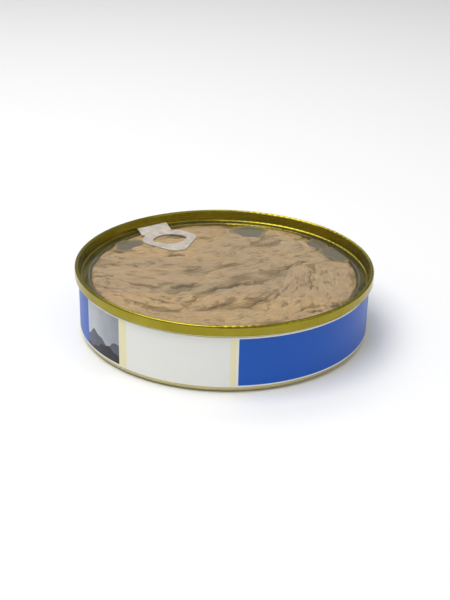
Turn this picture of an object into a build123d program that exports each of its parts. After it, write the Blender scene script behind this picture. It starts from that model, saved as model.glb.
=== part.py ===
from build123d import *

import os
from math import cos, degrees, pi, radians, sin, sqrt, tan

# A shallow round fish tin with a clear peel-off lid, as the separate pieces it is made of.
#
# The tin is one drawn cup of lacquered sheet. A metal ring is seamed on to its rim, and a
# clear film with a pull tab is sealed to the ring's flat shelf. Flaked fish in oil fills the
# tin up to the film, and a paper label is wrapped round the wall and lapped at the back.
#
# Millimetres. The origin is the middle of the base, +Z is up and the label's front is -Y.

# Overall sizes
rim_diameter = 102.3          # outside of the seam
can_height = 23.8             # from the foot to the top of the seam
seam_overhang = 1.4           # the seam stands out this far from the cup's wall
body_sheet = 0.2              # thickness of the cup's metal
ring_sheet = 0.2              # thickness of the lid ring's metal
fit_gap = 0.05                # room between pieces that are pressed together

# Base of the cup
corner_radius = 2.2           # where the wall turns into the foot
foot_width = 1.3              # flat ring that the tin stands on
panel_rise = 1.0              # the base panel stands this far off the table
bead_height = 0.45            # raised rings pressed into the panel
bead_insets = (24.75, 10.75)  # from the wall to the middle of each raised ring
bead_width = 3.4              # flat top of a raised ring
step_run = 1.0                # how far a pressed step takes, measured outwards
press_radius = 0.6            # bend radius of pressed steps

# Seam and lid ring
seam_height = 3.5             # band that grips the rim of the cup
seam_thickness = 1.25         # all the folded layers together
seam_top_radius = 0.6         # rounding of the seam's top
seam_skirt_radius = 0.45      # rounding of its lower outer edge
wall_in_seam = 2.6            # how far the cup's wall reaches up inside the seam
shelf_depth = 3.9             # from the top of the seam down to the shelf
shelf_width = 3.1             # from the ring's wall to its window
shelf_corner_radius = 0.5     # bends at the two edges of the shelf
curl_drop = 1.0               # the shelf's inner edge is turned down this far
curl_width = 0.7              # and out again this far, so that it can't cut
curl_rise = 0.5               # and up again this far
curl_radius = 0.3

# Film and pull tab
film_thickness = 0.1
film_edge_gap = 0.1           # from the film's edge to the ring's rounded corner
tab_sheet = 0.2
tab_azimuth = 124.9           # where the tab leaves the rim, in degrees from +X
tab_swing = -13.7             # how far the tab lies off a straight line to the middle, in degrees
tab_root_width = 12.2
tab_fold_height = 0.75        # the fold at the root stands this far up the ring's wall
tab_fold_radius = 0.3
tab_ramp = 6.0                # length of the slope from the fold down to the film
tab_length = 25.0             # from the fold to the tip
loop_side_shift = -2.7        # the loop's middle lies this far to the side of the root's
loop_length = 19.2            # from the tip to the back of the loop
loop_widest_at = 11.7         # from the tip to the loop's two shoulders
loop_side_angle = 37.0        # each side leaves the tip this far off the tab's line
loop_back_width = 13.0
tip_radius = 4.6
shoulder_radius = 5.0
back_radius = 1.5
eye_width = 13.0              # finger hole, across the tab
eye_length = 9.5              # and along it
eye_from_tip = 6.7            # band between the tip and the hole
eye_corner_radius = 0.9

# Contents
fish_side_gap = 0.7           # oil between the fish and what is round it
fish_floor_gap = 0.3          # oil under the fish, over the base's raised rings
edge_wander = 1.8             # the fish's edge comes in by up to this much
edge_sides = 40               # straight sides that make up that edge
flake_count = 19
flake_depth = 2.6             # the lowest flake stands this far above the solid core
flake_fall = 1.1              # the tallest flake ends this much above the lowest
flake_sink = 0.35             # oil over the tallest flake
flake_gap = 1.3               # width of the cracks between flakes at their tops
flake_taper = 14.0            # slope of a flake's sides, in degrees
flake_wander = 2.4            # flakes lie up to this far from an even spacing

# Label
label_sheet = 0.15
label_foot_gap = 0.1          # from the cup's rounded corner up to the label
label_top_gap = 0.9           # from the label up to the seam
label_lap = 8.0               # width of the glued overlap, at the back

# Worked out from the sizes above
rim_radius = rim_diameter / 2
wall_radius = rim_radius - seam_overhang
wall_inner = wall_radius - body_sheet
seam_bottom = can_height - seam_height
seam_inner = rim_radius - seam_thickness
shelf_top = can_height - shelf_depth
ring_at_seam = wall_inner - fit_gap - ring_sheet
ring_lean = (seam_inner - ring_at_seam) / seam_height
ring_foot = ring_at_seam - ring_lean * (seam_bottom - shelf_top)
window_radius = ring_foot - shelf_width
curl_bottom = shelf_top - curl_drop
film_radius = ring_foot - shelf_corner_radius - film_edge_gap
film_top = shelf_top + film_thickness


def turn(section, angle=360):
    """Revolve a section drawn with X as the radius and Y as the height."""
    return revolve(Plane.XZ * section, Axis.Z, angle)


def bent_sheet(line, thickness, side):
    """Section of sheet metal: a line given a thickness to one side."""
    return make_face(offset(line, amount=thickness, side=side).edges())


def filled(*corners):
    return make_face(Polyline(*corners, close=True).edges())


def cup_line():
    """Outside of the cup, from the middle of the base to the wall's edge inside the seam."""
    low, high = panel_rise, panel_rise + bead_height
    bends = []
    for inset in bead_insets:
        inner = wall_radius - inset - bead_width / 2
        outer = wall_radius - inset + bead_width / 2
        steps = ((inner - step_run, low), (inner, high), (outer, high), (outer + step_run, low))
        bends += [(step, press_radius) for step in steps]
    foot = wall_radius - corner_radius - foot_width
    bends += [
        ((foot - step_run, low), press_radius),
        ((foot, 0), press_radius),
        ((wall_radius, 0), corner_radius),
        ((wall_radius, seam_bottom), press_radius),
    ]
    edge = (wall_radius + ring_lean * wall_in_seam, seam_bottom + wall_in_seam)
    points = [(0, low)] + [point for point, _ in bends] + [edge]
    return FilletPolyline(*points, radius=[radius for _, radius in bends])


def cup_section():
    return bent_sheet(cup_line(), body_sheet, Side.LEFT)


def can_body():
    return turn(cup_section())


def seam_band():
    """Section of the folded seam, with the slot that takes the edge of the cup's wall."""
    foot_inner = seam_inner - ring_lean * seam_height
    corners = [
        (foot_inner, seam_bottom),
        (rim_radius, seam_bottom),
        (rim_radius, can_height),
        (seam_inner, can_height),
    ]
    radii = [fit_gap, seam_skirt_radius, seam_top_radius, seam_top_radius]
    band = make_face(FilletPolyline(*corners, radius=radii, close=True).edges())
    slot_height = wall_in_seam + fit_gap
    lean = ring_lean * slot_height
    slot = filled(
        (wall_inner - fit_gap, seam_bottom),
        (wall_radius + fit_gap, seam_bottom),
        (wall_radius + fit_gap + lean, seam_bottom + slot_height),
        (wall_inner - fit_gap + lean, seam_bottom + slot_height),
    )
    return band - slot


def lid_ring():
    curl_outer = window_radius + curl_width
    line = FilletPolyline(
        (curl_outer, curl_bottom + curl_rise),
        (curl_outer, curl_bottom),
        (window_radius, curl_bottom),
        (window_radius, shelf_top),
        (ring_foot, shelf_top),
        (seam_inner - ring_lean * seam_top_radius, can_height - seam_top_radius),
        radius=[curl_radius, curl_radius, shelf_corner_radius, shelf_corner_radius],
    )
    return turn(seam_band() + bent_sheet(line, ring_sheet, Side.RIGHT))


def lid_film():
    return extrude(Pos(0, 0, shelf_top) * Circle(film_radius), film_thickness)


def loop_outline():
    """The loop of the tab, its tip at the origin and its length along +X, with the finger hole."""
    slope = radians(loop_side_angle)
    apex = tip_radius / sin(slope) - tip_radius
    half = (loop_widest_at + apex) * tan(slope)
    outer = FilletPolyline(
        (-apex, 0),
        (loop_widest_at, -half),
        (loop_length, -loop_back_width / 2),
        (loop_length, loop_back_width / 2),
        (loop_widest_at, half),
        radius=[tip_radius, shoulder_radius, back_radius, back_radius, shoulder_radius],
        close=True,
    )
    near, far = eye_from_tip, eye_from_tip + eye_length
    middle = near + eye_length / 2
    ends = [(middle, -eye_width / 2), (middle, eye_width / 2)]
    eye = ThreePointArc(ends[0], (far, 0), ends[1]) + ThreePointArc(ends[1], (near, 0), ends[0])
    eye = make_face(eye.edges())
    return make_face(outer.edges()) - fillet(eye.vertices(), eye_corner_radius)


def pull_tab():
    """Bent strip seen from the side, trimmed by the tab's outline seen from above."""
    bulge = tab_root_width ** 2 / 8 / ring_foot
    fold = ring_foot - fit_gap - tab_sheet - bulge
    side = FilletPolyline(
        (fold - tab_length, film_top),
        (fold - tab_ramp, film_top),
        (fold, film_top + tab_fold_height),
        (fold, film_top),
        radius=[press_radius, tab_fold_radius],
    )
    strip = extrude(Plane.XZ * bent_sheet(side, tab_sheet, Side.LEFT), tab_length, both=True)
    root_length = tab_length - loop_length + back_radius + tab_ramp
    root = Pos(tab_ramp - root_length / 2, 0) * Rectangle(root_length, tab_root_width)
    loop = Pos(-tab_length, loop_side_shift) * loop_outline()
    outline = Pos(fold, 0) * (Rot(0, 0, tab_swing) * (root + loop))
    tab = strip & extrude(outline, can_height, dir=(0, 0, 1))
    return Rot(0, 0, tab_azimuth) * tab


def uneven_edge(radius):
    """Corners of the fish's edge, which comes in from this radius by a wandering amount."""
    corners = []
    for n in range(edge_sides):
        turned = 2 * pi * n / edge_sides
        reach = radius - edge_wander * (0.5 + 0.5 * sin(5 * turned) * cos(3 * turned))
        corners.append((reach * cos(turned), reach * sin(turned)))
    return corners


def flake_seeds(radius):
    """Middles of the flakes: a sunflower spiral, each pushed a little off its place."""
    golden = pi * (3 - sqrt(5))
    seeds = []
    for n in range(flake_count):
        reach = radius * sqrt((n + 0.5) / flake_count) + flake_wander * sin(2.3 * n) / 2
        across = flake_wander * sin(1.7 * n)
        out_x, out_y = cos(n * golden), sin(n * golden)
        seeds.append((reach * out_x - across * out_y, reach * out_y + across * out_x))
    return seeds


def nearer_part(polygon, near, far):
    """The part of a polygon that lies nearer to one point than to another."""
    nx, ny = far[0] - near[0], far[1] - near[1]
    level = (far[0] ** 2 + far[1] ** 2 - near[0] ** 2 - near[1] ** 2) / 2
    kept = []
    for (x0, y0), (x1, y1) in zip(polygon, polygon[1:] + polygon[:1]):
        side0, side1 = nx * x0 + ny * y0 - level, nx * x1 + ny * y1 - level
        if side0 <= 0:
            kept.append((x0, y0))
        if side0 * side1 < 0:
            part = side0 / (side0 - side1)
            kept.append((x0 + part * (x1 - x0), y0 + part * (y1 - y0)))
    return kept


def tuna():
    """Solid core with separate flakes standing on it, out to an uneven edge."""
    floor = panel_rise + body_sheet + bead_height + fish_floor_gap
    core_top = shelf_top - flake_sink - flake_fall - flake_depth
    core = Pos(0, 0, floor) * filled(*uneven_edge(wall_inner - fish_side_gap))
    heap = extrude(core, core_top - floor, dir=(0, 0, 1))
    edge = window_radius - fish_side_gap
    seeds = flake_seeds(edge)
    for n, seed in enumerate(seeds):
        cell = uneven_edge(edge)
        for other in seeds[:n] + seeds[n + 1:]:
            cell = nearer_part(cell, seed, other)
        height = flake_depth + flake_fall * (0.5 + 0.5 * sin(2.9 * n))
        spread = height * tan(radians(flake_taper)) - flake_gap / 2
        foot = offset(filled(*cell), spread, kind=Kind.INTERSECTION)
        foot = Pos(0, 0, core_top) * foot
        heap += extrude(foot, height, dir=(0, 0, 1), taper=flake_taper)
    return heap


def oil(fish):
    """All that the fish leaves free inside the tin, up to the film."""
    throat = window_radius - fit_gap
    under_curl = curl_bottom - fit_gap
    inside = filled(
        (0, 0),
        (wall_radius, 0),
        (wall_radius, under_curl),
        (throat, under_curl),
        (throat, shelf_top),
        (0, shelf_top),
    )
    line = cup_line()
    outside = Polyline(line @ 0, (0, -1), (rim_diameter, -1), (rim_diameter, can_height), line @ 1)
    outside = make_face(line.edges() + outside.edges())
    return turn(inside - outside - cup_section()) - fish


def label():
    """Sleeve of paper, doubled where its two ends are glued over each other."""
    bottom = corner_radius + label_foot_gap
    height = seam_bottom - label_top_gap - bottom
    layer = Pos(wall_radius + label_sheet / 2, bottom + height / 2) * Rectangle(label_sheet, height)
    lap_angle = degrees(label_lap / wall_radius)
    lap = turn(Pos(label_sheet, 0) * layer, lap_angle)
    return turn(layer) + Rot(0, 0, 90 - lap_angle / 2) * lap


if __name__ == "__main__":
    os.makedirs("parts", exist_ok=True)
    fish = tuna()
    pieces = {
        "can_body": can_body(),
        "lid_ring": lid_ring(),
        "lid_film": lid_film(),
        "pull_tab": pull_tab(),
        "tuna": fish,
        "oil": oil(fish),
        "label": label(),
    }
    for name, piece in pieces.items():
        box = piece.bounding_box()
        print(f"{name}: {piece.volume / 1000:.2f} ml, z {box.min.Z:.2f} to {box.max.Z:.2f} mm")
        export_step(piece, f"parts/{name}.step")
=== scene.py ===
# %% [markdown]
# # A shallow fish tin with a clear peel-off lid
# The tin is gold lacquered metal, with a paper label, a ring seamed on to its rim, a clear
# film sealed to the ring's shelf, a milky pull tab, and flaked fish in oil behind the film.
# The metal, paper and film keep the shape that the frame gives them and get their finish
# here. The fish and the oil are made here, because a solid can't show flakes.

# %% Load the frame
import math

import bmesh
import bpy
import numpy as np
from mathutils import Matrix, Vector


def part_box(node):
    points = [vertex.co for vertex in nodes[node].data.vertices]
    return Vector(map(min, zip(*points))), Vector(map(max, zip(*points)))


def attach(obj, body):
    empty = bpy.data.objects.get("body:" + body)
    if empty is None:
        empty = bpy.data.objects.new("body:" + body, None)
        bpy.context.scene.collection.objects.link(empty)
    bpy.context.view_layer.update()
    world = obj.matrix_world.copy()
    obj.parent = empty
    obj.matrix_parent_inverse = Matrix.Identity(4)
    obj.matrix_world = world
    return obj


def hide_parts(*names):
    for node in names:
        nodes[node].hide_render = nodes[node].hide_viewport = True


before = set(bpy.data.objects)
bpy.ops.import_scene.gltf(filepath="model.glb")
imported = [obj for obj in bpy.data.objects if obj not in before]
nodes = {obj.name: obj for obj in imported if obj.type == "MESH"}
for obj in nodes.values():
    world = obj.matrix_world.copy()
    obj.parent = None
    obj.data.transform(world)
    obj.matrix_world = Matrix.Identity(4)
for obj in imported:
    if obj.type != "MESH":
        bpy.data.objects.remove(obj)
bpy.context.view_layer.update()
scene = bpy.context.scene
MM = 0.001
print("pieces in the frame:", sorted(nodes))

# %% [markdown]
# ## Sizes
# Heights and reaches are worked out from the boxes of the frame's pieces, in metres. The film
# is sealed to the ring over a narrow band, and what lies inside that band is the window.

# %% Read the sizes
ring_low, ring_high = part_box("lid_ring")
film_low, film_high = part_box("lid_film")
label_low, label_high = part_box("label")
fish_low, fish_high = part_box("tuna")
SEAL_WIDTH = 2.5 * MM
FISH_UNDER_FILM = 0.05 * MM
FISH_INSIDE_WINDOW = 0.8 * MM
rim_radius = ring_high.x
film_under = film_low.z
window_radius = film_high.x - SEAL_WIDTH
fish_top = film_under - FISH_UNDER_FILM
fish_reach = window_radius - FISH_INSIDE_WINDOW
print(f"rim {rim_radius / MM:.2f} mm, window {window_radius / MM:.2f} mm, film at {film_under / MM:.2f} mm")

# %% [markdown]
# ## Camera and light
# The camera is set first. It stands
# about 38 cm away and 25 degrees up, and is tipped a little to one side, as if hand held.

# %% Place the camera
CAMERA_DISTANCE = 0.3814
CAMERA_UP = math.radians(24.932)
CAMERA_TIP = math.radians(1.326)
aim = Vector((0.463 * MM, 0, 8.952 * MM))
away = Vector((0, -math.cos(CAMERA_UP), math.sin(CAMERA_UP)))
camera_data = bpy.data.cameras.new("camera")
camera_data.lens = 65.5
camera_data.sensor_width = 36
camera = bpy.data.objects.new("camera", camera_data)
camera.location = aim + away * CAMERA_DISTANCE
look = (-away).to_track_quat("-Z", "Y").to_matrix().to_4x4()
camera.rotation_euler = (look @ Matrix.Rotation(CAMERA_TIP, 4, "Z")).to_euler()
scene.collection.objects.link(camera)
scene.camera = camera
scene.view_settings.view_transform = "Standard"


def lamp(name, place, size, power):
    """A soft rectangular lamp that points at the tin, in metres and watts."""
    data = bpy.data.lights.new(name, "AREA")
    data.shape = "RECTANGLE"
    data.size, data.size_y = size
    data.energy = power
    new = bpy.data.objects.new(name, data)
    new.location = place
    new.rotation_euler = (aim - Vector(place)).to_track_quat("-Z", "Y").to_euler()
    scene.collection.objects.link(new)


lamp("key", (-0.25, -0.15, 0.8), (0.6, 0.6), 4.6)
lamp("fill", (0.6, -0.5, 0.5), (0.5, 0.4), 0.5)
lamp("back", (-0.2, 0.5, 0.75), (0.5, 0.3), 1.2)
print("camera and three soft lamps placed")

# %% [markdown]
# ## Writing shaders as sums
# A material is easier to read as arithmetic than as a drawing of nodes. `Value` wraps one
# socket and lets Python's operators add the Math nodes. `Paint` is one material, and its
# `node` method adds any other node.


# %% A small shader language
class Value:
    """One socket of a material. Arithmetic on it adds Math nodes."""

    def __init__(self, paint, socket):
        self.paint, self.socket = paint, socket

    def math(self, operation, other=0.0, swap=False, clamp=False):
        pair = (other, self) if swap else (self, other)
        return self.paint.node(
            "ShaderNodeMath", {"operation": operation, "use_clamp": clamp}, {0: pair[0], 1: pair[1]}
        )

    def clamped(self):
        """The same number, held between 0 and 1."""
        return self.math("MULTIPLY", 1.0, clamp=True)

    def __add__(self, other):
        return self.math("ADD", other)

    def __sub__(self, other):
        return self.math("SUBTRACT", other)

    def __rsub__(self, other):
        return self.math("SUBTRACT", other, swap=True)

    def __mul__(self, other):
        return self.math("MULTIPLY", other)

    def __truediv__(self, other):
        return self.math("DIVIDE", other)

    def __gt__(self, other):
        return self.math("GREATER_THAN", other)

    def __lt__(self, other):
        return self.math("LESS_THAN", other)

    __radd__ = __add__
    __rmul__ = __mul__


class Paint:
    """One material, with short ways to add its nodes."""

    def __init__(self, name):
        self.material = bpy.data.materials.new(name)
        self.material.use_nodes = True
        self.tree = self.material.node_tree
        self.tree.nodes.clear()
        self.output = self.tree.nodes.new("ShaderNodeOutputMaterial")

    def node(self, kind, settings=None, sockets=None, out=0):
        new = self.tree.nodes.new(kind)
        for key, setting in (settings or {}).items():
            if key == "stops":
                ramp = new.color_ramp.elements
                while len(ramp) < len(setting):
                    ramp.new(0.5)
                for stop, (place, colour) in zip(ramp, setting):
                    stop.position, stop.color = place, colour
            else:
                setattr(new, key, setting)
        for key, value in (sockets or {}).items():
            if isinstance(value, Value):
                self.tree.links.new(value.socket, new.inputs[key])
            else:
                new.inputs[key].default_value = value
        return Value(self, new.outputs[out])

    def mix(self, share, first, second):
        return self.node(
            "ShaderNodeMix", {"data_type": "RGBA"}, {0: share, 6: first, 7: second}, out=2
        )

    def place(self):
        """X, Y and Z of the surface in the tin's own frame, in millimetres."""
        point = self.node("ShaderNodeTexCoord", out=3)
        return [self.node("ShaderNodeSeparateXYZ", None, {0: point}, out=n) * 1000 for n in range(3)]

    def vector(self, x, y, z):
        return self.node("ShaderNodeCombineXYZ", None, {0: x, 1: y, 2: z})

    def spot(self):
        """The same place as one vector, for a noise."""
        return self.vector(*self.place())

    def noise(self, vector, scale, detail=3.0, rough=0.5):
        sockets = {"Vector": vector, "Scale": scale, "Detail": detail, "Roughness": rough}
        return self.node("ShaderNodeTexNoise", None, sockets)

    def bump(self, height, distance, strength):
        return self.node(
            "ShaderNodeBump", None, {"Height": height, "Distance": distance, "Strength": strength}
        )

    def finish(self, shader):
        self.tree.links.new(shader.socket, self.output.inputs[0])
        return self.material


def rgb(red, green, blue):
    """A colour written as on a screen, 0 to 255, turned into the light it stands for."""
    parts = [c / 255 for c in (red, green, blue)]
    return tuple(c / 12.92 if c <= 0.04045 else ((c + 0.055) / 1.055) ** 2.4 for c in parts) + (1.0,)


print("shader helpers ready:", Value.__name__, "and", Paint.__name__)


# %% [markdown]
# ## Gold lacquered metal
# The metal is bright tinplate under a clear gold lacquer. A metallic surface reflects in its
# own colour, so the lacquer is the base colour, darker where it lies thick. Drawing and
# seaming leave very fine lines that run round the tin, so the noise is stretched that way.
# The ring is a deep gold and the cup below the label a paler one.


# %% Make the metal
GRAIN_HEIGHT = 0.02 * MM
GRAIN_ROUGHNESS = 0.12
LINES_PER_MM = 5.0


def round_grain(paint, lines):
    """Noise that is long round the tin and short across it."""
    x, y, z = paint.place()
    turn = x.math("ARCTAN2", y)
    reach = (x * x + y * y).math("SQRT")
    return paint.noise(paint.vector(turn * 4, reach * lines, z * lines), 1.0)


def gold_metal(name, light, deep, roughness):
    paint = Paint(name)
    cloud = paint.noise(paint.spot(), 0.12, 2.0)
    grain = round_grain(paint, LINES_PER_MM)
    shader = paint.node("ShaderNodeBsdfPrincipled", None, {
        "Base Color": paint.mix(cloud * 0.7 + grain * 0.3, deep, light),
        "Metallic": 1.0,
        "Roughness": roughness + (grain - 0.5) * GRAIN_ROUGHNESS,
        "Normal": paint.bump(grain, GRAIN_HEIGHT, 0.35),
    })
    return paint.finish(shader)


seam_gold = gold_metal("seam_gold", rgb(168, 156, 60), rgb(124, 112, 20), 0.22)
body_gold = gold_metal("body_gold", rgb(206, 197, 150), rgb(188, 178, 128), 0.28)


def cover(node, material):
    """Give one of the frame's own pieces this finish all over."""
    nodes[node].data.materials.clear()
    nodes[node].data.materials.append(material)
    for face in nodes[node].data.polygons:
        face.material_index = 0


cover("lid_ring", seam_gold)
cover("can_body", body_gold)
print("metal finished")

# %% [markdown]
# ## The printed label
# The label is coated paper, printed in flat fields that are placed by the angle round the
# tin. `turn` is that angle in degrees, 0 at the front and growing towards +X. A little white
# paper shows above and below the print. A field's edge is one comparison, and the hills in the
# picture are sums of sine waves.

# %% Print the label
WHITE_PAPER = rgb(234, 235, 230)
BLUE_INK, WORN_BLUE_INK = rgb(0, 82, 182), rgb(0, 92, 192)
CREAM_INK = rgb(236, 229, 186)
PICTURE_FROM, PICTURE_TO = -62.4, -41.3
WHITE_FROM, WHITE_TO = -37.5, 3.0
STRIPE_TO, LINE_TO = 5.1, 5.9
PAPER_EDGE = 0.45
PAPER_RELIEF = 0.02 * MM
# Each wave of a skyline: radians for each degree round the label, shift, height in millimetres
FAR_HILLS, FAR_HEIGHT = [(0.42, 0.0, 1.3), (0.95, 0.0, 0.5)], 8.6
NEAR_HILLS, NEAR_HEIGHT = [(0.27, 2.0, 1.7), (1.3, 0.0, 0.3)], 5.4


def between(value, low, high):
    return (value > low) * (value < high)


def skyline(turn, waves, height):
    """How high a row of hills stands at this angle."""
    first, *others = [(turn * rate + shift).math("SINE") * size for rate, shift, size in waves]
    return sum(others, first) + height


def picture(paint, turn, height):
    """Dark rolling hills under a pale cloudy sky."""
    across = (turn - PICTURE_FROM) / (PICTURE_TO - PICTURE_FROM)
    cloud = paint.noise(paint.vector(turn, height * 0.8, 0.0), 0.14, 4.0)
    sky = paint.mix(across * 0.7 + cloud * 0.5, rgb(214, 216, 218), rgb(136, 144, 156))
    far = height < skyline(turn, FAR_HILLS, FAR_HEIGHT)
    near = height < skyline(turn, NEAR_HILLS, NEAR_HEIGHT)
    hills = paint.mix(far, sky, paint.mix(cloud, rgb(58, 64, 76), rgb(96, 102, 114)))
    return paint.mix(near, hills, paint.mix(cloud, rgb(20, 22, 28), rgb(44, 46, 54)))


def printed_label():
    paint = Paint("label_print")
    x, y, z = paint.place()
    turn = x.math("ARCTAN2", y * -1) * math.degrees(1)
    fibre = paint.noise(paint.vector(x, y, z), 2.5, 4.0)
    ink = paint.mix(fibre * 0.25, BLUE_INK, WORN_BLUE_INK)
    ink = paint.mix(between(turn, PICTURE_FROM, PICTURE_TO), ink, picture(paint, turn, z))
    ink = paint.mix(between(turn, PICTURE_TO, STRIPE_TO), ink, CREAM_INK)
    ink = paint.mix(between(turn, WHITE_FROM, WHITE_TO), ink, WHITE_PAPER)
    ink = paint.mix(between(turn, STRIPE_TO, LINE_TO), ink, WHITE_PAPER)
    low, high = label_low.z / MM + PAPER_EDGE, label_high.z / MM - PAPER_EDGE
    colour = paint.mix(between(z, low, high), WHITE_PAPER, ink)
    shader = paint.node("ShaderNodeBsdfPrincipled", None, {
        "Base Color": colour,
        "Roughness": 0.34 + fibre * 0.12,
        "Coat Weight": 0.1,
        "Specular IOR Level": 0.3,
        "Coat Roughness": 0.15,
        "Normal": paint.bump(fibre, PAPER_RELIEF, 0.3),
    })
    return paint.finish(shader)


cover("label", printed_label())
print("label printed")

# %% [markdown]
# ## Clear film and milky tab
# The film is thin and flat, so light goes straight through it and doesn't bend. That is a
# transparent shader, with a glossy one over it where Fresnel says so, and a trace of haze.
# The tab is the same film, thicker and milky: more of it is diffuse, and a finer noise makes
# some places whiter than others.

# %% Make the film and the tab
RIPPLE_HEIGHT = 0.2 * MM
FILM_IOR = 1.4
GLOSS_SHARE = 0.3


def thin_film(name, tint, haze, haze_colour, roughness):
    """A film whose `haze` gives the share that is dull, from the material and its ripple."""
    paint = Paint(name)
    ripple = paint.noise(paint.spot(), 0.09, 2.0)
    normal = paint.bump(ripple, RIPPLE_HEIGHT, 0.25)
    clear = paint.node("ShaderNodeBsdfTransparent", None, {"Color": tint})
    dull = paint.node("ShaderNodeBsdfDiffuse", None, {"Color": haze_colour})
    gloss = paint.node("ShaderNodeBsdfGlossy", None, {"Roughness": roughness, "Normal": normal})
    body = paint.node("ShaderNodeMixShader", None, {0: haze(paint, ripple), 1: clear, 2: dull})
    shine = paint.node("ShaderNodeFresnel", None, {"IOR": FILM_IOR}) * GLOSS_SHARE
    return paint.finish(paint.node("ShaderNodeMixShader", None, {0: shine, 1: body, 2: gloss}))


def film_haze(paint, ripple):
    return ripple * 0.05


def tab_haze(paint, ripple):
    crease = paint.noise(paint.spot(), 0.35, 4.0)
    return crease * 0.6 + 0.25


cover("lid_film", thin_film("clear_film", rgb(250, 250, 246), film_haze, rgb(225, 222, 205), 0.08))
cover("pull_tab", thin_film("milky_film", rgb(235, 232, 226), tab_haze, rgb(238, 228, 218), 0.2))
print("film and tab finished")

# %% [markdown]
# ## The fish
# Cooked tuna comes apart in flakes, which are bundles of fibres. Each flake is a closed mesh:
# a grid with a ragged outline, rounded edges and fine ridges along its length, pressed flat
# where it meets the film. They lie over a lower core, which is what shows between them.
# Lengths in the two tables are in millimetres and angles in degrees.

# %% Lay out the flakes
# Each one: middle x and y, length, width, angle, drop under the film
FLAKES = [
    (-21, 21, 34, 17, 18, 0.00), (-13, 8.5, 38, 12, 12, 0.05), (-31, 10, 22, 12, -4, 0.10),
    (-1, 25, 36, 14, 33, 0.00), (5, 34, 24, 9, 22, 0.15), (-9, 38, 24, 10, 6, 0.20),
    (3, 14, 42, 10, 24, 0.03), (10, 5, 36, 8, 29, 0.08), (19, 21, 38, 12, 25, 0.00),
    (27, 30, 20, 8, -12, 0.20), (21, 38, 18, 7, -18, 0.20), (26, 12, 22, 7, 22, 0.25),
    (24.5, -5, 28, 10, 80, 0.00), (34, -4, 27, 9, 93, 0.03), (41, -3, 20, 6, 84, 0.15),
    (38, 8, 13, 8, 8, 0.05), (36, -17, 20, 11, 58, 0.10), (23, -23, 30, 13, 64, 0.00),
    (11, -33, 26, 11, 24, 0.08), (27, -33, 22, 9, 34, 0.20), (14, -12, 22, 8, 42, 0.35),
    (0, -21.5, 36, 7.5, 41, 0.00), (-4, -34, 28, 10, 8, 0.08), (-9, -15, 20, 5, 30, 0.45),
    (-18, -37, 22, 9, -18, 0.12), (-30, -15, 34, 6.5, -27, 0.00), (-33, -7.5, 26, 6.5, -12, 0.05),
    (-26, -23, 30, 6, -29, 0.04), (-36, -23, 18, 6, -38, 0.20), (-38, 1, 18, 7, -5, 0.08),
    (-39, 12, 12, 6, 12, 0.20), (-17, -22, 16, 8, 18, 0.20), (-19, -4, 30, 8, -8, 0.06),
    (-3, -4, 26, 7, 24, 0.15), (-28, 32, 16, 8, 30, 0.25), (3, -42, 22, 6, 4, 0.25),
    (-28, -32, 18, 7, -36, 0.15), (2, -11, 20, 3.5, 26, 0.25), (8, -17, 14, 4, 48, 0.30),
    (31, 20, 14, 6, -30, 0.30), (-8, -27, 14, 6, 60, 0.18), (41, -14, 10, 5, 70, 0.30),
]
print(len(FLAKES), "flakes laid out")

# %% [markdown]
# Cracks and pits cut across flakes and core alike, so they are one table, and one function
# says how far they lower any point. Each is a long hollow whose middle line wavers a little.

# %% Lay out the cracks and pits
# Each one: middle x and y, half length, half width, angle, depth
CRACKS = [
    (-17.3, 14.7, 3.2, 1.5, 5, 1.2), (-13, -11.3, 5.5, 1.0, 22, 1.4), (1.5, -11.5, 8.5, 1.3, 28, 1.5),
    (-8.6, 5.7, 10, 0.30, 14, 0.7), (7, 5.2, 9, 0.35, 32, 0.8), (29.5, -4, 11.5, 0.40, 88, 0.9),
    (33.8, 1.3, 2.6, 0.45, 84, 0.9), (25.6, 9, 5, 0.5, 29, 1.0), (-40.7, -5.6, 3.6, 0.9, 5, 1.2),
    (-20.8, -24.3, 4.6, 1.0, -30, 1.1), (29.5, -29.5, 3.0, 0.9, 20, 1.2), (36.4, -24.3, 2.2, 0.8, 40, 1.2),
    (20, -14, 9, 0.5, 62, 0.8), (-30, -11.0, 11, 0.45, -18, 0.9), (-30, -19.3, 12, 0.45, -28, 0.9),
    (12, -22, 8, 0.5, 50, 0.7), (-2, -27, 9, 0.45, 38, 0.7), (16, 28, 7, 0.3, 30, 0.7),
    (-2, 31, 7, 0.3, 24, 0.6), (14, 14, 10, 0.3, 26, 0.7), (-34, 5, 7, 0.35, -4, 0.7),
    (-6, 17, 9, 0.25, 30, 0.6), (22, 5, 5, 0.5, 40, 1.0), (-15, -17, 6, 0.5, 35, 0.9),
]


def crack_depth(px, py):
    """How far cracks lower the flesh at these points, which are NumPy arrays in metres."""
    total = np.zeros_like(px)
    for x, y, long_half, short_half, angle, deep in CRACKS:
        turned = math.radians(angle)
        dx, dy = px / MM - x, py / MM - y
        a = (dx * math.cos(turned) + dy * math.sin(turned)) / long_half
        b = -dx * math.sin(turned) + dy * math.cos(turned)
        b = (b + 0.35 * np.sin(a * 7 + x) + 0.15 * np.sin(a * 19 + y)) / short_half
        shape = np.clip(1 - a ** 4, 0, 1) * np.clip(1.15 - np.abs(b) ** 1.5, 0, 1)
        total = np.maximum(total, deep * MM * shape)
    return total


print(len(CRACKS), "cracks and pits laid out")

# %% [markdown]
# One flake's top is a grid of points, `u` along it and `v` across it, both from -1 to 1. The
# sides pull in towards the ends, and sums of sine waves with a fixed seed make the outline
# ragged, bend the flake and raise its ridges. What would stand above the film is cut level.

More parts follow.
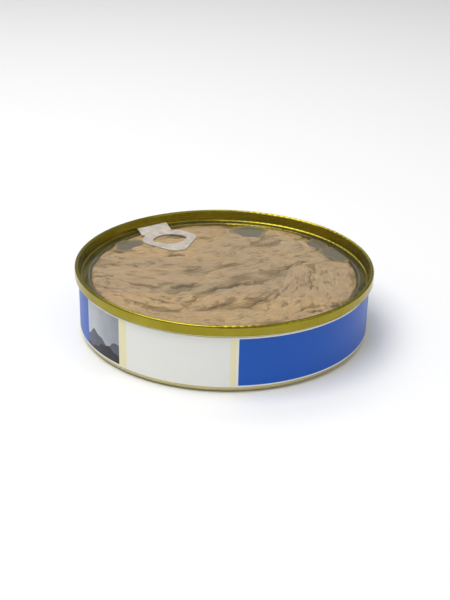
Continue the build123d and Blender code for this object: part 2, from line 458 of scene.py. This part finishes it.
# %% Shape one flake
FLAKE_ROWS, FLAKE_COLUMNS = 62, 34
FLAKE_EDGE_DROP = 1.1 * MM
FLAKE_WALL = 3.5 * MM
TIP_HALF_WIDTH = 0.05 * MM
RAGGED_SIDE = 0.10
RAGGED_END = 0.35 * MM
BEND = 0.035
RIDGE_HEIGHT = 0.05 * MM
SWELL_HEIGHT = 0.10 * MM
RELIEF_SUNK = 0.06 * MM


def wander(values, count, seed):
    """A smooth random line through as many values, made of a few sine waves."""
    local = np.random.default_rng(seed)
    total = np.zeros_like(values)
    for wave in range(1, count + 1):
        total += local.normal() / wave ** 0.7 * np.sin(wave * 2.3 * values + local.uniform(0, 6.28))
    return total


def flake_grid(middle, length, width, angle, drop, seed):
    """Points of one flake's top as arrays: x, y and z, and the place along and across it."""
    along, across = np.linspace(-1, 1, FLAKE_ROWS), np.linspace(-1, 1, FLAKE_COLUMNS)
    u, v = np.meshgrid(along, across, indexing="ij")
    half = width / 2 * (1 - np.abs(u) ** 3.4) ** 0.42 + TIP_HALF_WIDTH
    ragged = 1 + RAGGED_SIDE * wander(u * 1.7, 6, seed)
    bend = length * BEND * wander(u * 0.6, 2, seed + 1)
    x = u * length / 2 + RAGGED_END * wander(v * 3, 5, seed + 4) * np.abs(u) ** 4
    y = v * half * ragged + bend
    edge = np.maximum(np.abs(v) ** 10, np.abs(u) ** 16)
    ridges = RIDGE_HEIGHT * wander(v * width / MM * 0.55 + 0.4 * wander(u, 2, seed + 2), 7, seed + 3)
    swell = SWELL_HEIGHT * wander(u * 1.5 + v * 0.7, 3, seed + 5)
    z = fish_top - drop + np.minimum(ridges + swell + RELIEF_SUNK, 0) - FLAKE_EDGE_DROP * edge
    turned = math.radians(angle)
    px = middle[0] + x * math.cos(turned) - y * math.sin(turned)
    py = middle[1] + x * math.sin(turned) + y * math.cos(turned)
    return px, py, z, x / MM, y / MM


print(f"a flake's top has {FLAKE_ROWS} by {FLAKE_COLUMNS} points")

# %% [markdown]
# All flakes go into one mesh. Each gets a wall down from the rim of its grid and a flat floor,
# so it is closed. Every point also carries three values for the material: `grain`, its place
# along and across the flake with a shift of the flake's own, `tint`, which differs from flake to
# flake, and `depth`, how many millimetres it lies under the top of the fish.

# %% Build the flakes
FIRST_SEED, SEED_STEP = 11, 17
NOISE_SHIFT = 0.37


def empty_store():
    return {"points": [], "faces": [], "grain": [], "tint": [], "depth": []}


def add_point(store, point, grain, tint):
    store["points"].append(point)
    store["grain"].append(grain)
    store["tint"].append(tint)
    # `depth` is what the flesh later turns into painted shade
    store["depth"].append((fish_top - point[2]) / MM)


def grid_rim(rows, columns):
    """The rows and columns round the edge of a grid, in order."""
    rim = [(row, 0) for row in range(rows)] + [(rows - 1, column) for column in range(1, columns)]
    rim += [(row, columns - 1) for row in range(rows - 2, -1, -1)]
    return rim + [(0, column) for column in range(columns - 2, 0, -1)]


def add_flake(store, middle, length, width, angle, drop, seed):
    px, py, z, along, across = flake_grid(middle, length, width, angle, drop, seed)
    z = z - crack_depth(px, py)
    reach = np.hypot(px, py)
    squeeze = np.minimum(1, fish_reach / np.maximum(reach, 1e-9))
    px, py = px * squeeze, py * squeeze
    rows, columns = px.shape
    start = len(store["points"])
    tint = float(np.random.default_rng(seed + 9).uniform())
    low = fish_top - drop - FLAKE_WALL
    rim = grid_rim(rows, columns)
    top = [(row, column, z[row, column]) for row in range(rows) for column in range(columns)]
    for row, column, height in top + [(row, column, low) for row, column in rim]:
        point = (px[row, column], py[row, column], height)
        add_point(store, point, (along[row, column], across[row, column], seed * NOISE_SHIFT), tint)
    for row in range(rows - 1):
        for column in range(columns - 1):
            first = start + row * columns + column
            store["faces"].append([first, first + columns, first + columns + 1, first + 1])
    under = start + rows * columns
    for n, (row, column) in enumerate(rim):
        after = (n + 1) % len(rim)
        here_top = start + row * columns + column
        after_top = start + rim[after][0] * columns + rim[after][1]
        store["faces"].append([after_top, here_top, under + n, under + after])
    store["faces"].append([under + n for n in reversed(range(len(rim)))])


def store_mesh(name, store):
    mesh = bpy.data.meshes.new(name)
    mesh.from_pydata(store["points"], [], store["faces"])
    for key, kind in (("grain", "FLOAT_VECTOR"), ("tint", "FLOAT"), ("depth", "FLOAT")):
        attribute = mesh.attributes.new(key, kind, "POINT")
        values = np.array(store[key], np.float32).ravel()
        attribute.data.foreach_set("vector" if kind == "FLOAT_VECTOR" else "value", values)
    mesh.polygons.foreach_set("use_smooth", [True] * len(mesh.polygons))
    new = bpy.data.objects.new(name, mesh)
    scene.collection.objects.link(new)
    return new


flake_store = empty_store()
for number, (x, y, length, width, angle, drop) in enumerate(FLAKES):
    seed = FIRST_SEED + SEED_STEP * number
    add_flake(flake_store, (x * MM, y * MM), length * MM, width * MM, angle, drop * MM, seed)
flakes = store_mesh("tuna_flakes", flake_store)
print(f"{len(FLAKES)} flakes, {len(flakes.data.polygons)} faces")

# %% [markdown]
# The core is one round mesh. Its top is a height for each point of a polar grid, a little
# lower than the flakes and lumpy, and its wall and floor close it. Past the window it stays
# under the ring.

# %% Make the core
CORE_RINGS, CORE_SIDES = 90, 260
CORE_INSET = 2.5 * MM
CORE_UNDER_RING = 0.2 * MM
CORE_DROP, CORE_LUMPS, CORE_FINE_LUMPS = 0.62, 0.25, 0.12
CORE_TINT = 0.35


def core_height(x, y):
    """The height of the core's top here, lumpy and lowered by the cracks."""
    a, b = x / MM, y / MM
    lumps = math.sin(a * 0.45 + 1.2 * math.sin(b * 0.3)) * math.cos(b * 0.5 - a * 0.2)
    fine = math.sin(a * 1.9 - b * 3.1) * CORE_FINE_LUMPS
    z = fish_top - (CORE_DROP - CORE_LUMPS * lumps - fine) * MM
    return z - float(crack_depth(np.array(x), np.array(y)))


def make_core():
    store = empty_store()
    rings, sides = CORE_RINGS, CORE_SIDES
    for ring in range(1, rings + 1):
        for side in range(sides):
            turned = 2 * math.pi * side / sides
            reach = ring / rings * (fish_high.x - CORE_INSET)
            x, y = reach * math.cos(turned), reach * math.sin(turned)
            z = core_height(x, y)
            if reach > window_radius:
                z = min(z, ring_low.z - CORE_UNDER_RING)
            add_point(store, (x, y, z), (x / MM, y / MM, 0.0), CORE_TINT)
    for ring in range(rings - 1):
        for side in range(sides):
            after = (side + 1) % sides
            store["faces"].append([ring * sides + side, (ring + 1) * sides + side,
                                   (ring + 1) * sides + after, ring * sides + after])
    store["faces"].append(list(range(sides)))
    outer = (rings - 1) * sides
    first_low = len(store["points"])
    for side in range(sides):
        x, y, _ = store["points"][outer + side]
        add_point(store, (x, y, fish_low.z), (x / MM, y / MM, 0.0), CORE_TINT)
    for side in range(sides):
        after = (side + 1) % sides
        store["faces"].append([outer + side, first_low + side, first_low + after, outer + after])
    store["faces"].append([first_low + side for side in reversed(range(sides))])
    return store_mesh("tuna_core", store)


core = make_core()
print(f"core with {len(core.data.polygons)} faces")

# %% [markdown]
# The flesh is pinkish tan and paler on raised fibres. Shade is painted in as dark brown: the
# deeper a point lies under the top of the fish, the browner it is, so cracks, flake sides and
# the lower core carry painted shade. The noise is read from `grain`, stretched along the fibres,
# so the streaks turn with each flake. Fine tears are where a second noise crosses its middle
# value, in patches only; they are grooves in the bump and get the same painted shade.

# %% Make the flesh
FIBRE_HEIGHT = 0.3 * MM


def fish_flesh():
    paint = Paint("fish_flesh")
    grain = paint.node("ShaderNodeAttribute", {"attribute_name": "grain"}, out=1)
    tint = paint.node("ShaderNodeAttribute", {"attribute_name": "tint"}, out=2)
    depth = paint.node("ShaderNodeAttribute", {"attribute_name": "depth"}, out=2)
    along, across, flake = [paint.node("ShaderNodeSeparateXYZ", None, {0: grain}, out=n) for n in range(3)]
    streak = paint.noise(paint.vector(along * 0.25, across * 2.2, flake), 1.0, 5.0, 0.65)
    torn = paint.noise(paint.vector(along * 0.16, across * 0.62, flake + 5.0), 1.0, 4.0, 0.6)
    torn = (1.0 - (torn - 0.5).math("ABSOLUTE") * 27).clamped()
    patch = paint.noise(paint.vector(along * 0.2, across * 0.3, flake + 9.0), 1.0, 2.0)
    torn = torn * ((patch - 0.5) * 9).clamped()
    blotch = paint.noise(paint.vector(along * 0.12, across * 0.16, flake), 1.0, 3.0)
    pale = paint.mix(tint, rgb(238, 210, 182), rgb(232, 196, 172))
    tan = paint.mix(blotch, rgb(202, 170, 142), rgb(188, 148, 126))
    flesh = paint.mix((streak * 2.6 - 0.8).clamped(), tan, pale)
    # painted shade: the deeper under the top of the fish, and along the fine tears, the more the colour
    # turns to the dark brown rgb(98, 68, 50)
    deep = (depth * 1.3 - 0.45).clamped().math("MAXIMUM", torn * 0.95)
    colour = paint.mix(deep * 0.95, flesh, rgb(98, 68, 50))
    shader = paint.node("ShaderNodeBsdfPrincipled", None, {
        "Base Color": colour,
        "Roughness": 0.42 + streak * 0.2,
        "Normal": paint.bump(streak - torn * 1.2, FIBRE_HEIGHT, 0.7),
    })
    return paint.finish(shader)


flesh_material = fish_flesh()
flakes.data.materials.append(flesh_material)
core.data.materials.append(flesh_material)
print("flesh on the flakes and the core")

# %% [markdown]
# ## Loose shreds
# Where flakes tear, short fibres lie about. Geometry Nodes scatter points over the flakes,
# put a small tapered strand on each, turn it and realize the result. Only the upper faces get
# any. The tree is built first, with its sizes as named inputs.

# %% Build the tree that scatters shreds
SHRED_SIZES = (("Length", 2.6 * MM), ("Thickness", 0.16 * MM), ("Per square metre", 42000.0))
SHRED_ZONE = 0.9 * MM
SHRED_LEAN, SHRED_HEADING = (84, 92), (-30, -110)
PLACE_SEED, TURN_SEED = 5, 3
STRAND_SIDES, STRAND_SEGMENTS = 6, 4


def shred_tree():
    tree = bpy.data.node_groups.new("scatter_shreds", "GeometryNodeTree")
    interface = tree.interface
    interface.new_socket("Geometry", in_out="INPUT", socket_type="NodeSocketGeometry")
    for name, value in SHRED_SIZES:
        interface.new_socket(name, in_out="INPUT", socket_type="NodeSocketFloat").default_value = value
    interface.new_socket("Finish", in_out="INPUT", socket_type="NodeSocketMaterial")
    interface.new_socket("Geometry", in_out="OUTPUT", socket_type="NodeSocketGeometry")
    new, link = tree.nodes.new, tree.links.new
    given, result = new("NodeGroupInput"), new("NodeGroupOutput")
    points = new("GeometryNodeDistributePointsOnFaces")
    points.inputs["Seed"].default_value = PLACE_SEED
    link(given.outputs["Geometry"], points.inputs["Mesh"])
    link(given.outputs["Per square metre"], points.inputs["Density"])
    height = new("GeometryNodeInputPosition")
    split = new("ShaderNodeSeparateXYZ")
    link(height.outputs[0], split.inputs[0])
    near_top = new("FunctionNodeCompare")
    near_top.operation = "GREATER_THAN"
    near_top.inputs[1].default_value = fish_top - SHRED_ZONE
    link(split.outputs[2], near_top.inputs[0])
    link(near_top.outputs[0], points.inputs["Selection"])
    strand = new("GeometryNodeMeshCone")
    strand.inputs["Vertices"].default_value = STRAND_SIDES
    strand.inputs["Side Segments"].default_value = STRAND_SEGMENTS
    for socket, name in (("Radius Bottom", "Thickness"), ("Depth", "Length")):
        link(given.outputs[name], strand.inputs[socket])
    turn = new("FunctionNodeRandomValue")
    turn.data_type = "FLOAT_VECTOR"
    for end, (lean, heading) in enumerate(zip(SHRED_LEAN, SHRED_HEADING)):
        turn.inputs[end].default_value = (math.radians(lean), 0, math.radians(heading))
    turn.inputs["Seed"].default_value = TURN_SEED
    copies = new("GeometryNodeInstanceOnPoints")
    link(points.outputs["Points"], copies.inputs["Points"])
    link(strand.outputs["Mesh"], copies.inputs["Instance"])
    link(turn.outputs[0], copies.inputs["Rotation"])
    real, finish = new("GeometryNodeRealizeInstances"), new("GeometryNodeSetMaterial")
    link(copies.outputs[0], real.inputs[0])
    link(real.outputs[0], finish.inputs["Geometry"])
    link(given.outputs["Finish"], finish.inputs["Material"])
    link(finish.outputs[0], result.inputs[0])
    return tree


scatter = shred_tree()
print(f"tree with {len(scatter.nodes)} nodes")

# %% [markdown]
# A copy of the flakes carries the tree as a modifier. Its result becomes a plain mesh, the copy
# goes, and strands that stick out are pressed back under the film.

# %% Scatter the shreds
SHRED_PROUD = 0.03 * MM


def shred_flesh():
    paint = Paint("shred_flesh")
    mottle = paint.noise(paint.spot(), 0.6, 3.0)
    shader = paint.node("ShaderNodeBsdfPrincipled", None, {
        "Base Color": paint.mix(mottle, rgb(176, 148, 118), rgb(214, 190, 160)),
        "Roughness": 0.45 + mottle * 0.1,
    })
    return paint.finish(shader)


def keep_under_film(mesh):
    """Press the points that stick out flat against the film, and in from the ring."""
    for point in mesh.vertices:
        point.co.z = min(point.co.z, fish_top + SHRED_PROUD)
        reach = math.hypot(point.co.x, point.co.y)
        if reach > fish_reach:
            point.co.x *= fish_reach / reach
            point.co.y *= fish_reach / reach


def make_shreds():
    holder = flakes.copy()
    scene.collection.objects.link(holder)
    modifier = holder.modifiers.new("shreds", "NODES")
    modifier.node_group = scatter
    items = scatter.interface.items_tree
    sockets = {item.name: item.identifier for item in items if item.in_out == "INPUT"}
    modifier[sockets["Finish"]] = shred_flesh()
    evaluated = holder.evaluated_get(bpy.context.evaluated_depsgraph_get())
    mesh = bpy.data.meshes.new_from_object(evaluated)
    bpy.data.objects.remove(holder)
    keep_under_film(mesh)
    new = bpy.data.objects.new("tuna_shreds", mesh)
    scene.collection.objects.link(new)
    return new


shreds = make_shreds()
print(f"shreds with {len(shreds.data.polygons)} faces")

# %% [markdown]
# ## Oil
# The oil fills the tin to the film. Its top layer is a clear tinted slab that touches the
# film's underside. Near the edge it gathers in pools that look grey and cream. The slab and
# the pools are thin flat prisms, each extruded from an outline, and they share one kind of
# finish: mostly transparent, with a dull share for the haze.

# %% Make the oil layer
OIL_LAYER_DEPTH = 0.6 * MM
RING_STEPS = [2 * math.pi * n / 180 for n in range(180)]


def disc_prism(name, outline, low, high):
    """A closed flat slab with this outline."""
    made = bmesh.new()
    base = made.faces.new([made.verts.new((x, y, low)) for x, y in outline])
    lifted = bmesh.ops.extrude_face_region(made, geom=[base])
    top = [v for v in lifted["geom"] if isinstance(v, bmesh.types.BMVert)]
    bmesh.ops.translate(made, verts=top, vec=(0, 0, high - low))
    bmesh.ops.recalc_face_normals(made, faces=made.faces)
    mesh = bpy.data.meshes.new(name)
    made.to_mesh(mesh)
    made.free()
    new = bpy.data.objects.new(name, mesh)
    scene.collection.objects.link(new)
    return new


def clear_oil(name, tint, haze, haze_colour):
    paint = Paint(name)
    swirl = paint.noise(paint.spot(), 0.12, 2.0)
    clear = paint.node("ShaderNodeBsdfTransparent", None, {"Color": tint})
    dull = paint.node("ShaderNodeBsdfDiffuse", None, {"Color": haze_colour})
    share = swirl * 0.06 + haze
    return paint.finish(paint.node("ShaderNodeMixShader", None, {0: share, 1: clear, 2: dull}))


slab = [(window_radius * math.cos(a), window_radius * math.sin(a)) for a in RING_STEPS]
oil = disc_prism("oil_layer", slab, film_under - OIL_LAYER_DEPTH, film_under)
oil.data.materials.append(clear_oil("clear_oil", rgb(252, 249, 236), 0.0, rgb(214, 200, 150)))

print(f"oil layer {OIL_LAYER_DEPTH / MM:.1f} mm deep")

# %% [markdown]
# Each pool is a grey slab over a wider cream one, so that a cream line shows round it. Its
# outline is an ellipse with a slow wobble, kept inside the window.

# %% Make the oil pools
# Each one: middle x and y, half length, half width, angle
POOLS = [
    (9, 38, 5.5, 5.0, 10), (33.5, 27, 4.0, 3.0, -50), (39.5, 18, 6.5, 3.2, -62), (-35, 22, 5.5, 3.5, 50),
]
POOL_THICKNESS = 0.03
POOL_INSIDE_WINDOW = 0.3 * MM


def pool_outline(x, y, long_half, short_half, angle, seed):
    turned = math.radians(angle)
    outline = []
    for step in RING_STEPS[::3]:
        wobble = 1 + 0.10 * math.sin(3 * step + seed) + 0.06 * math.sin(5 * step + 2 * seed)
        a, b = long_half * wobble * math.cos(step), short_half * wobble * math.sin(step)
        px = (x + a * math.cos(turned) - b * math.sin(turned)) * MM
        py = (y + a * math.sin(turned) + b * math.cos(turned)) * MM
        inward = min(1, (window_radius - POOL_INSIDE_WINDOW) / math.hypot(px, py))
        outline.append((px * inward, py * inward))
    return outline


grey_oil = clear_oil("grey_oil", rgb(206, 200, 202), 0.35, rgb(176, 168, 172))
cream_oil = clear_oil("cream_oil", rgb(238, 232, 205), 0.3, rgb(224, 214, 182))
# Each layer: name, finish, growth of the outline, depth of its underside below the film
POOL_LAYERS = [("cream", cream_oil, 1.25, 0.10), ("grey", grey_oil, 1.0, 0.05)]
pool_pieces = []
for number, (x, y, long_half, short_half, angle) in enumerate(POOLS):
    for kind, material, grow, low in POOL_LAYERS:
        outline = pool_outline(x, y, long_half * grow, short_half * grow, angle, number)
        bottom, top = film_under - low * MM, film_under - (low - POOL_THICKNESS) * MM
        piece = disc_prism(f"oil_pool_{kind}_{number}", outline, bottom, top)
        piece.data.materials.append(material)
        pool_pieces.append(piece)
print(f"{len(pool_pieces)} pool pieces")

# %% [markdown]
# ## Floor and background
# The floor and the far background are plain white. A ray from the camera, or one that passes
# through glass, sees the world at full white. Every other ray, a mirrored one too, meets it at
# a lower level, which lights the object softly.

# %% Lay the floor
FLOOR_HALF_WIDTH = 3.0
corners = [(x * FLOOR_HALF_WIDTH, y * FLOOR_HALF_WIDTH, 0) for x, y in ((-1, -1), (1, -1), (1, 1), (-1, 1))]
floor_mesh = bpy.data.meshes.new("floor")
floor_mesh.from_pydata(corners, [], [(0, 1, 2, 3)])
floor = bpy.data.objects.new("floor", floor_mesh)
scene.collection.objects.link(floor)
floor_paint = Paint("floor_white")
floor_shader = floor_paint.node("ShaderNodeBsdfDiffuse", None, {"Color": rgb(252, 252, 252)})
floor_mesh.materials.append(floor_paint.finish(floor_shader))
print(f"floor {2 * FLOOR_HALF_WIDTH:.0f} m wide")

# %% Light from all round
WORLD_LIGHT = 0.42
world = bpy.data.worlds.new("world")
world.use_nodes = True
scene.world = world
tree = world.node_tree
tree.nodes.clear()
light_path = tree.nodes.new("ShaderNodeLightPath")
seen = tree.nodes.new("ShaderNodeMath")
seen.operation = "MAXIMUM"
tree.links.new(light_path.outputs["Is Camera Ray"], seen.inputs[0])
tree.links.new(light_path.outputs["Is Transmission Ray"], seen.inputs[1])
soft, white = tree.nodes.new("ShaderNodeBackground"), tree.nodes.new("ShaderNodeBackground")
soft.inputs["Strength"].default_value = WORLD_LIGHT
soft.inputs["Color"].default_value = white.inputs["Color"].default_value = (1, 1, 1, 1)
chosen, world_output = tree.nodes.new("ShaderNodeMixShader"), tree.nodes.new("ShaderNodeOutputWorld")
tree.links.new(seen.outputs[0], chosen.inputs[0])
tree.links.new(soft.outputs[0], chosen.inputs[1])
tree.links.new(white.outputs[0], chosen.inputs[2])
tree.links.new(chosen.outputs[0], world_output.inputs[0])
print("world set to", WORLD_LIGHT)

# %% [markdown]
# ## Hand the pieces over
# Each new piece rides on the tin's one body, and the piece of the frame that it stands in for is
# hidden.

# %% Finish
for piece, node, slot in ((flakes, "tuna", "fish_flesh"), (core, "tuna", "fish_flesh"),
                          (shreds, "tuna", "fish_flesh"), (oil, "oil", "oil")):
    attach(piece, "root")
    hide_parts(node)
for piece in pool_pieces:
    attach(piece, "root")
    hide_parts("oil")
